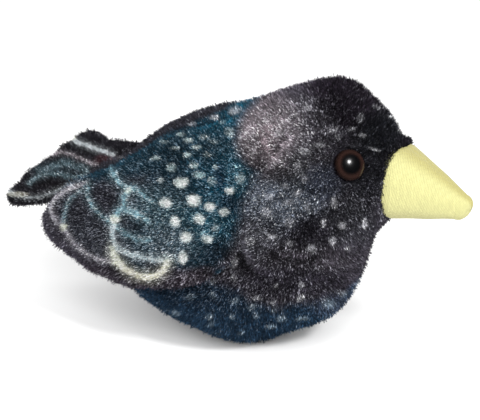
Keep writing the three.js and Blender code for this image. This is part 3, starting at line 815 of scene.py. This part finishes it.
def noise_node(nt, scale, detail=3.0, rough=0.6, coords="Object", stretch=None):
    co = nt.nodes.new("ShaderNodeTexCoord")
    out = co.outputs[coords]
    if stretch:
        mp = nt.nodes.new("ShaderNodeMapping")
        mp.inputs["Scale"].default_value = stretch
        nt.links.new(out, mp.inputs["Vector"])
        out = mp.outputs[0]
    n = nt.nodes.new("ShaderNodeTexNoise")
    n.inputs["Scale"].default_value = scale
    n.inputs["Detail"].default_value = detail
    n.inputs["Roughness"].default_value = rough
    nt.links.new(out, n.inputs["Vector"])
    return n.outputs["Fac"]


def tinted(nt, bsdf, low, high, fac):
    """The tint attribute, times a pattern between low and high."""
    at = nt.nodes.new("ShaderNodeAttribute")
    at.attribute_name = "tint"
    mr = nt.nodes.new("ShaderNodeMapRange")
    mr.inputs["To Min"].default_value, mr.inputs["To Max"].default_value = low, high
    nt.links.new(fac, mr.inputs["Value"])
    mul = nt.nodes.new("ShaderNodeVectorMath")
    mul.operation = "SCALE"
    nt.links.new(at.outputs["Color"], mul.inputs[0])
    nt.links.new(mr.outputs[0], mul.inputs["Scale"])
    nt.links.new(mul.outputs[0], bsdf.inputs["Base Color"])


def coat_material():
    m, nt, b = base_material("printed_pile")
    tinted(nt, b, 0.75, 1.25, noise_node(nt, 520.0, 2.0))
    b.inputs["Roughness"].default_value = 0.6
    b.inputs["Specular IOR Level"].default_value = 0.08
    b.inputs["Sheen Weight"].default_value = 0.01
    b.inputs["Sheen Roughness"].default_value = 0.5
    b.inputs["Sheen Tint"].default_value = (0.85, 0.88, 0.92, 1)
    return m


def skin_material():
    m, nt, b = base_material("backing_cloth")
    n = noise_node(nt, 900.0, 3.0)
    tinted(nt, b, 0.55, 1.25, n)
    b.inputs["Roughness"].default_value = 0.9
    b.inputs["Specular IOR Level"].default_value = 0.05
    bump = nt.nodes.new("ShaderNodeBump")
    bump.inputs["Strength"].default_value = 0.6
    bump.inputs["Distance"].default_value = 0.0004
    nt.links.new(n, bump.inputs["Height"])
    nt.links.new(bump.outputs[0], b.inputs["Normal"])
    return m


def beak_material():
    m, nt, b = base_material("beak_cloth")
    # a fine diagonal knit under a short brushed nap
    co = nt.nodes.new("ShaderNodeTexCoord")
    waves = []
    for angle in (38, -46):
        mp = nt.nodes.new("ShaderNodeMapping")
        mp.inputs["Rotation"].default_value = (math.radians(90), math.radians(angle), 0)
        nt.links.new(co.outputs["Object"], mp.inputs["Vector"])
        wv = nt.nodes.new("ShaderNodeTexWave")
        wv.inputs["Scale"].default_value = 330.0
        wv.inputs["Distortion"].default_value = 2.2
        wv.inputs["Detail"].default_value = 2.0
        wv.inputs["Detail Scale"].default_value = 1.6
        nt.links.new(mp.outputs[0], wv.inputs["Vector"])
        waves.append(wv.outputs["Fac"])
    knit = math_node(nt, "MULTIPLY", waves[0], waves[1])
    nap = noise_node(nt, 1500.0, 4.0, 0.7)
    height = math_node(nt, "ADD", math_node(nt, "MULTIPLY", knit, 0.5), nap)
    tinted(nt, b, 0.86, 1.08, math_node(nt, "MULTIPLY", height, 0.8))
    bump = nt.nodes.new("ShaderNodeBump")
    bump.inputs["Strength"].default_value = 0.5
    bump.inputs["Distance"].default_value = 0.00035
    nt.links.new(height, bump.inputs["Height"])
    nt.links.new(bump.outputs[0], b.inputs["Normal"])
    b.inputs["Roughness"].default_value = 0.88
    b.inputs["Specular IOR Level"].default_value = 0.2
    b.inputs["Sheen Weight"].default_value = 0.3
    b.inputs["Sheen Roughness"].default_value = 0.5
    b.inputs["Sheen Tint"].default_value = (1.0, 0.98, 0.8, 1)
    return m


def eye_material():
    m, nt, b = base_material("eye_gloss")
    n = noise_node(nt, 420.0, 4.0)
    tinted(nt, b, 0.8, 1.2, n)
    b.inputs["Roughness"].default_value = 0.20
    b.inputs["IOR"].default_value = 1.40
    b.inputs["Specular IOR Level"].default_value = 0.5
    b.inputs["Coat Weight"].default_value = 0.05
    b.inputs["Coat Roughness"].default_value = 0.3
    b.inputs["Coat IOR"].default_value = 1.4
    return m


COAT, SKIN, BEAK_MAT, EYE_MAT = coat_material(), skin_material(), beak_material(), eye_material()


def finish_piece(ob, material, replaces=()):
    ob.data.materials.append(material)
    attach(ob, "root")
    if replaces:
        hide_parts(*replaces)
    return ob


# ---- eyes --------------------------------------------------------------------------
EYE = dict(r=4.5, dome=2.5, back=1.9, sink=1.6, far_sink=2.4)
EYE_AT = np.array([43.2, -18.7, 65.9])
EYE_N = unit(np.array([0.669, -0.631, 0.393]))


def eye_frame(side):
    s = np.array([1, -side, 1])        # side -1 is the bird's right
    n = EYE_N * s
    c = EYE_AT * s - n * (EYE["far_sink"] if side > 0 else EYE["sink"])
    e1 = unit(np.cross(n, [0, 0, 1.0]))
    return c, n, e1, np.cross(n, e1)


def make_eye(name, node, side):
    c, n, e1, e2 = eye_frame(side)
    prof = [(0.001, -EYE["back"]), (EYE["r"] * 0.98, -EYE["back"]), (EYE["r"], -EYE["back"] + 0.1)]
    prof += [(EYE["r"], -0.7), (EYE["r"], -0.25)]
    prof += [(EYE["r"] * math.cos(a), EYE["dome"] * math.sin(a)) for a in np.linspace(0.02, math.pi / 2 - 0.004, 34)]
    prof = np.array(prof)
    seg = 96
    ang = np.linspace(0, 2 * np.pi, seg, endpoint=False)
    rr, hh = prof[:, 0][:, None], prof[:, 1][:, None]
    v = c + rr[..., None] * (np.cos(ang)[None, :, None] * e1 + np.sin(ang)[None, :, None] * e2) + hh[..., None] * n
    f = grid_faces(len(prof), seg, True)
    r0 = np.repeat(prof[:, 0] / EYE["r"], seg)
    a = np.tile(ang, len(prof))
    # the pupil sits a little to the rear of the middle
    off = -side * 0.08 * (1 - smooth(0.7, 1.0, r0))
    r = np.hypot(r0 * np.cos(a) - off, r0 * np.sin(a))
    # brown iris ring, darker towards its rims, round a black pupil
    iris = mix(np.broadcast_to(lin(35, 22, 19), (len(r), 3)), np.broadcast_to(lin(25, 15, 12), (len(r), 3)),
               smooth(0.82, 0.97, r0))
    iris = mix(iris, np.broadcast_to(lin(12, 6, 5), iris.shape), 0.6 * (1 - smooth(0.62, 0.80, r)))
    iris = iris * (1 + 0.10 * np.sin(a * 37 + 3 * np.sin(a * 5)))[:, None]
    tint = mix(np.broadcast_to(lin(5, 5, 6), iris.shape), iris, smooth(0.52, 0.70, r))
    tint = mix(tint, np.broadcast_to(lin(14, 7, 7), tint.shape), smooth(0.955, 1.0, r0))
    ob = new_mesh(name, v.reshape(-1, 3), f, tint=tint)
    return finish_piece(ob, EYE_MAT, [node])


make_eye("eye_dome_right", "eye_right", -1)
make_eye("eye_dome_left", "eye_left", 1)

# ---- beak ----------------------------------------------------------------------------
BEAK = dict(x0=51.6, z0=57.1, x1=69.4, z1=51.9, h0=10.3, h1=3.0, w0=9.9, w1=3.3, tip=3.2,
            inset=4.5, lean0=10, lean1=22)
_dx, _dz = BEAK["x1"] - BEAK["x0"], BEAK["z1"] - BEAK["z0"]
BEAK_LEN = math.hypot(_dx, _dz)
BEAK_DIR = np.array([_dx / BEAK_LEN, 0, _dz / BEAK_LEN])


def beak_surface(d, a, grow=0.0):
    d = np.asarray(d, float)
    t = np.clip(d / BEAK_LEN, 0, 1)
    over = np.clip((d - BEAK_LEN) / BEAK["tip"], 0, 0.9999)
    cap = np.sqrt(1 - over ** 2)
    belly = 0.25 * np.sin(np.pi * t)         # stuffing rounds the cloth out a little
    back = np.maximum(-d, 0)                 # and it flares on behind the fur's edge
    h = (mix(BEAK["h0"], BEAK["h1"] + 0.4, t) + belly + 0.02 * back) * cap + grow
    w = (mix(BEAK["w0"], BEAK["w1"], t ** 0.92) + belly + 0.10 * back) * cap + grow
    lean = np.radians(mix(BEAK["lean0"], BEAK["lean1"], t))
    c, s = np.cos(a), np.sin(a)
    power = 2.15 + 0.20 * (1 - smooth(-2, 9, d))
    e = (np.abs(c) ** power + np.abs(s) ** power) ** (-1 / power)
    # seams on the upper ridge and the underside
    seam = 0.22 * (np.exp(-((np.abs(np.degrees(a)) - 90) / 3.0) ** 2)) * (1 - over)
    h = h - seam * cap + 1.1 * cap * smooth(0.15, -0.6, s)
    o = np.array([BEAK["x0"], 0, BEAK["z0"]]) + d[..., None] * BEAK_DIR
    return o + np.stack([np.sin(lean) * h * s * e, -w * c * e, np.cos(lean) * h * s * e], -1)


def beak_tint_with_painted_shade(p, a, d):
    base = np.broadcast_to(lin(172, 169, 118), p.shape).copy()
    deg = (np.degrees(a) + 180) % 360 - 180
    # painted shade: a darker, more saturated yellow over the upper side and a slightly darker one underneath, where the
    # beak turns from the light
    base = mix(base, np.broadcast_to(lin(150, 142, 84), base.shape), 0.75 * smooth(40, 78, np.abs(np.abs(deg)) * (deg > 0)))
    base = mix(base, np.broadcast_to(lin(158, 151, 96), base.shape), 0.6 * smooth(30, 80, -deg * (deg < 0)))
    return base * (1 + 0.02 * noise(p, 2.5, 61))[..., None]


def knit(p, a, d):
    """Height of the beak's fine diagonal knit, 0 to 1."""
    around = np.mod(a, 2 * np.pi) * 7.5
    s, t = d * 0.80 + around * 0.60, -d * 0.60 + around * 0.80
    wave = np.cos(2 * np.pi * s / 0.62 + 0.9 * np.cos(2 * np.pi * t / 0.70)) * 0.5 + 0.5
    dots = np.cos(2 * np.pi * t / 0.70) * 0.5 + 0.5
    return 0.65 * wave + 0.35 * wave * dots + 0.25 * noise(p, 0.5, 63)


def make_beak():
    rows = np.r_[np.linspace(-6.5, BEAK_LEN, 190),
                 BEAK_LEN + BEAK["tip"] * np.sin(np.linspace(0.03, 1.565, 30))]
    cols = 400
    a = np.linspace(-np.pi, np.pi, cols, endpoint=False)
    D, A = np.meshgrid(rows, a, indexing="ij")
    v = beak_surface(D, A)
    out = unit(v - (np.array([BEAK["x0"], 0, BEAK["z0"]]) + np.minimum(D, BEAK_LEN - 2)[..., None] * BEAK_DIR))
    height = knit(v, A, D)
    v = v + (0.12 * noise(v, 5, 62) + 0.11 * (height - 0.8))[..., None] * out
    tint = beak_tint_with_painted_shade(v, A, D) * mix(0.86, 1.07, np.clip(height, 0, 1))[..., None]
    ob = new_mesh("beak_cloth", v.reshape(-1, 3), grid_faces(len(rows), cols, True)[:, ::-1],
                  tint=tint.reshape(-1, 3))
    return finish_piece(ob, BEAK_MAT, ["beak"])


make_beak()

# ---- backing cloth ----------------------------------------------------------------------
X0, X1 = -51.5, 52.0


def facing_of(normals, p):
    n = np.array(normals, copy=True)
    n[..., 1] = np.where(p[..., 1] > 0, -n[..., 1], n[..., 1])
    return n @ BACK


def outward_body(x, a):
    p = body_skin(x, a)
    n = surface_normals(body_skin, x, a, 0.25, 0.01)
    zc = 45.0 + 0 * x
    ref = np.stack([0 * x, p[..., 1], p[..., 2] - zc], -1)
    ref[..., 0] = np.where(x > 44, 8.0, np.where(x < -44, -8.0, 0.0))
    s = np.sign((n * ref).sum(-1))
    return n * np.where(s == 0, 1, s)[..., None]


def make_body_skin():
    xs = np.r_[np.linspace(X0, -40, 26), np.linspace(-39.4, 40, 150), np.linspace(40.4, X1, 34)]
    cols = 220
    a = np.linspace(-np.pi, np.pi, cols, endpoint=False)
    X, A = np.meshgrid(xs, a, indexing="ij")
    v = body_skin(X, A)
    n = outward_body(X, A)
    # the backing cloth gets half the print's colour: painted shade down between the fibres
    tint = body_tint(v + n * PILE, facing_of(n, v)) * 0.5
    # close both ends with a point
    rear, front = v[0].mean(0), v[-1].mean(0)
    verts = np.vstack([v.reshape(-1, 3), rear, front])
    k = len(xs) * cols
    f = grid_faces(len(xs), cols, True)
    tri = np.stack([f[:, [0, 1, 2]], f[:, [0, 2, 3]]], 1).reshape(-1, 3)[:, ::-1]
    j = np.arange(cols)
    j2 = (j + 1) % cols
    last = (len(xs) - 1) * cols
    tri = np.vstack([tri, np.stack([np.full(cols, k), j2, j], 1)[:, ::-1],
                     np.stack([np.full(cols, k + 1), last + j, last + j2], 1)[:, ::-1]])
    tints = np.vstack([tint.reshape(-1, 3), tint[0].mean(0), tint[-1].mean(0)])
    ob = new_mesh("skin_body", verts, tri, tint=tints)
    return finish_piece(ob, SKIN, ["body", "head"])


def make_flap_skin(name, flap, tint_of, node, flip, rows=64, cols=200):
    psi = np.linspace(0.004, np.pi - 0.004, rows)
    phi = np.linspace(0, 1, cols, endpoint=False)
    S, F = np.meshgrid(psi, phi, indexing="ij")
    v = flap(F, S)
    # the backing cloth gets half the print's colour: painted shade down between the fibres
    tint = tint_of(v) * 0.5
    if flip:
        v = v * np.array([1, -1, 1])
    f = grid_faces(rows, cols, True)
    if not flip:
        f = f[:, ::-1]
    ob = new_mesh(name, v.reshape(-1, 3), f, tint=tint.reshape(-1, 3))
    return finish_piece(ob, SKIN, [node])


make_body_skin()
make_flap_skin("skin_wing_right", wing_near, wing_tint, "wing_right", False)
make_flap_skin("skin_wing_left", wing_near, wing_tint, "wing_left", True)
make_flap_skin("skin_tail", tail, tail_tint, "tail", False)

# ---- the coat --------------------------------------------------------------------------
TOTAL = 1400000      # slivers, one triangle each


def wing_cover(x, a):
    """How deep inside the wing's outline a place on the body lies, in mm."""
    side = flank_angle(a)
    d = np.stack([x - wing_near.centre[0], side * PER_DEGREE - wing_near.centre[1]], -1)
    r = np.linalg.norm(d, axis=-1)
    ang = np.arctan2(d[..., 1], d[..., 0])
    o = wing_near.outline - wing_near.centre
    oa, orad = np.arctan2(o[:, 1], o[:, 0]), np.linalg.norm(o, axis=1)
    k = np.argsort(oa)
    return np.interp(ang, oa[k], orad[k], period=2 * np.pi) - r


def body_weight(x, a, p):
    w = np.ones(np.shape(x))
    w = w * (1 - smooth(3.0, 5.0, wing_cover(x, a)) * (x > -44))
    # none under the eyes
    near = np.where((p[..., 1] > 0)[..., None], p * np.array([1, -1, 1]), p)
    rel = near - EYE_AT
    off = np.linalg.norm(rel - (rel @ EYE_N)[..., None] * EYE_N, axis=-1)
    clear = EYE["r"] + np.where(p[..., 1] > 0, -1.0, 0.45)      # the far eye is set deeper in its fur
    w = w * np.where((off < clear) & (np.linalg.norm(rel, axis=-1) < 9), 0, 1)
    # finer and thicker on the face, thinner on the flat of the belly
    w = w * (1 + 0.9 * smooth(34, 46, x))
    w = w * np.where(p[..., 2] < FLOOR + 1.3, 0.5, 1)
    return w


def body_lie(p, x, a):
    """Lie of the pile: back from the beak, sweeping down on the flanks."""
    d = np.zeros(p.shape)
    d[..., 0] = -1.0
    side = flank_angle(a)
    d[..., 2] = -0.45 * (1 - smooth(50, 85, side)) * smooth(-80, -20, side)
    front = smooth(36, 50, x)
    away = unit(p - np.array([60.0, 0, 57]))
    return mix(d, away * 1.4, front)


def body_length(x, a, p):
    side = flank_angle(a)
    long = mix(1.82, 1.35, smooth(38, 51, x))
    near = np.where((p[..., 1] > 0)[..., None], p * np.array([1, -1, 1]), p)
    long = long * (1 - 0.25 * (1 - smooth(5.0, 8.5, np.linalg.norm(near - EYE_AT, axis=-1))))
    return long * (1 + 0.10 * noise(p, 9, 71))


def body_pieces():
    """Four regions round the bird, each split so that none is too large."""
    parts = [
        ("coat_head_right", 26, X1, -np.pi / 2, np.pi / 2),
        ("coat_head_left", 26, X1, np.pi / 2, 3 * np.pi / 2),
        ("coat_body_right", X0, 26, -np.pi / 2, np.pi / 2),
        ("coat_body_left", X0, 26, np.pi / 2, 3 * np.pi / 2),
    ]
    return parts


def wing_weight(phi, psi, p):
    outer = psi < np.pi / 2 + 0.25
    free = 1 - smooth(-34, -22, p[..., 0])       # the flap's free end shows inside too
    return np.where(outer, 1.0, 0.30 * free + 0.03)


jobs = []
for name, x0, x1, b0, b1 in body_pieces():
    jobs.append((name, body_skin, (x0, x1, b0, b1, 150, 200), body_weight, "body", False))
jobs.append(("coat_wing_right", wing_near, (0, 1, 0.004, np.pi - 0.004, 160, 80), wing_weight, "wing", False))
jobs.append(("coat_wing_left", wing_near, (0, 1, 0.004, np.pi - 0.004, 160, 80), wing_weight, "wing", True))
jobs.append(("coat_tail", tail, (0, 1, 0.004, np.pi - 0.004, 160, 80), lambda f, s, p: 1.1 + 0 * f, "tail", False))

areas = [scatter(surf, *dom, 10, weight, 1)[2] for _, surf, dom, weight, _, _ in jobs]
for k, (name, surf, dom, weight, kind, flip) in enumerate(jobs):
    want = int(TOTAL * areas[k] / sum(areas))
    halves = 1 + want // 195000
    a, b, _ = scatter(surf, *dom, want, weight, 100 + k)
    p = surf(a, b)
    if kind == "body":
        n = outward_body(a, b)
        lie = body_lie(p, a, b)
        length = body_length(a, b, p)
        facing = facing_of(n, p)
        # painted glints: more of them where the surface faces the camera, fewer low down near the floor
        glint_share = smooth(0.30, 0.80, facing) * smooth(13, 27, p[..., 2])
        lean = mix(0.24, 0.44, smooth(36, 50, a))
        place = np.stack([(a - dom[0]) / (dom[1] - dom[0]), (b - dom[2]) / (dom[3] - dom[2])], -1)
        width = mix(0.20, 0.17, smooth(34, 48, a))
    else:
        n = surface_normals(surf, a, b, 0.002, 0.01)
        mid = surf(a, np.full_like(b, np.pi / 2)) * 0.25 + surf(a, np.pi - b) * 0.75
        inside = np.where(b < np.pi / 2, 1, -1)
        ref = p - surf(a, np.pi - b)
        rimward = surf(a, np.full_like(b, np.pi / 2)) - surf(a, np.zeros_like(b) + 0.01)
        ref = unit(ref) * (1 - np.sin(b) ** 12)[:, None] + unit(rimward) * (np.sin(b) ** 12)[:, None]
        s = np.sign((n * ref).sum(-1))
        n = n * np.where(s == 0, 1, s)[:, None]
        uv = surf.uv(a, b)
        lo, hi = surf.outline.min(0), surf.outline.max(0)
        g = (uv - lo) / (hi - lo)
        place = np.stack([g[:, 0] * 0.47 + 0.01 + np.where(b > np.pi / 2, 0.51, 0), g[:, 1] * 0.96 + 0.02], -1)
        if kind == "wing":
            lie = np.broadcast_to(np.array([-1.0, 0.1, -0.42]), p.shape) + 0
            length = mix(1.75, 1.1, smooth(1.7, 2.2, b)) * (1 - 0.25 * smooth(50, 70, uv[:, 1] / PER_DEGREE))
            width = np.full(len(p), 0.20)
        else:
            lie = np.broadcast_to(T_ALONG, p.shape) + 0
            length = np.full(len(p), 1.60) * mix(0.8, 1.0, smooth(4, 12, uv[:, 0]))
            width = np.full(len(p), 0.19)
        lean = 0.26 + 0 * a
        # painted glints: more of them where the flap faces the camera
        glint_share = smooth(0.25, 0.75, np.abs(n @ (BACK * np.array([1, 1, 1]))))
        if flip:
            m = np.array([1, -1, 1])
            p, n, lie = p * m, n * m, lie * m
    for h in range(halves):
        sel = slice(h, None, halves)
        if kind == "body":
            tint_at = lambda q, f=facing[sel]: body_tint(q, f)
        else:
            tint_at = wing_tint if kind == "wing" else tail_tint
        piece = tufts(name if halves == 1 else f"{name}_{h + 1}", p[sel], n[sel], lie[sel], length[sel],
                      width[sel], lean[sel], tint_at, glint_share[sel], place[sel], 200 + 10 * k + h)
        finish_piece(piece, COAT)

# ---- floor, light -------------------------------------------------------------------------
floor_mesh = bpy.data.meshes.new("floor")
floor_mesh.from_pydata([(-3, -3, 0), (3, -3, 0), (3, 3, 0), (-3, 3, 0)], [], [(0, 1, 2, 3)])
floor = bpy.data.objects.new("floor", floor_mesh)
bpy.context.scene.collection.objects.link(floor)
fm, fnt, fb = base_material("floor_white")
fb.inputs["Base Color"].default_value = (0.92, 0.92, 0.92, 1)
fb.inputs["Roughness"].default_value = 0.9
fb.inputs["Specular IOR Level"].default_value = 0.1
floor_mesh.materials.append(fm)
floor.visible_glossy = False


def area_light(name, direction, distance, size, power, colour=(1, 1, 1)):
    d = bpy.data.lights.new(name, "AREA")
    d.shape, d.size, d.energy, d.color = "DISK", size, power, colour
    o = bpy.data.objects.new(name, d)
    v = Vector(unit(np.array(direction, float)))
    o.location = Vector(shift(np.array([0, 0, 42.0]))) + v * distance
    o.rotation_euler = v.to_track_quat("Z", "Y").to_euler()
    bpy.context.scene.collection.objects.link(o)
    return o


def view_direction(right, up, towards):
    return RIGHT * right + UP * up + BACK * towards


area_light("key", view_direction(0.44, 0.36, 0.82), 0.9, 0.16, 5.5)
front = area_light("front", view_direction(-0.15, 0.22, 0.95), 1.1, 0.9, 12.0)
front.visible_glossy = False

world = bpy.data.worlds.new("studio")
bpy.context.scene.world = world
world.use_nodes = True
world.node_tree.nodes["Background"].inputs["Color"].default_value = (1, 1, 1, 1)
world.node_tree.nodes["Background"].inputs["Strength"].default_value = 0.92
world.cycles_visibility.glossy = False

view_settings = bpy.context.scene.view_settings
view_settings.view_transform = "Standard"
view_settings.look = "None"
view_settings.exposure = 0.0
view_settings.gamma = 1.0
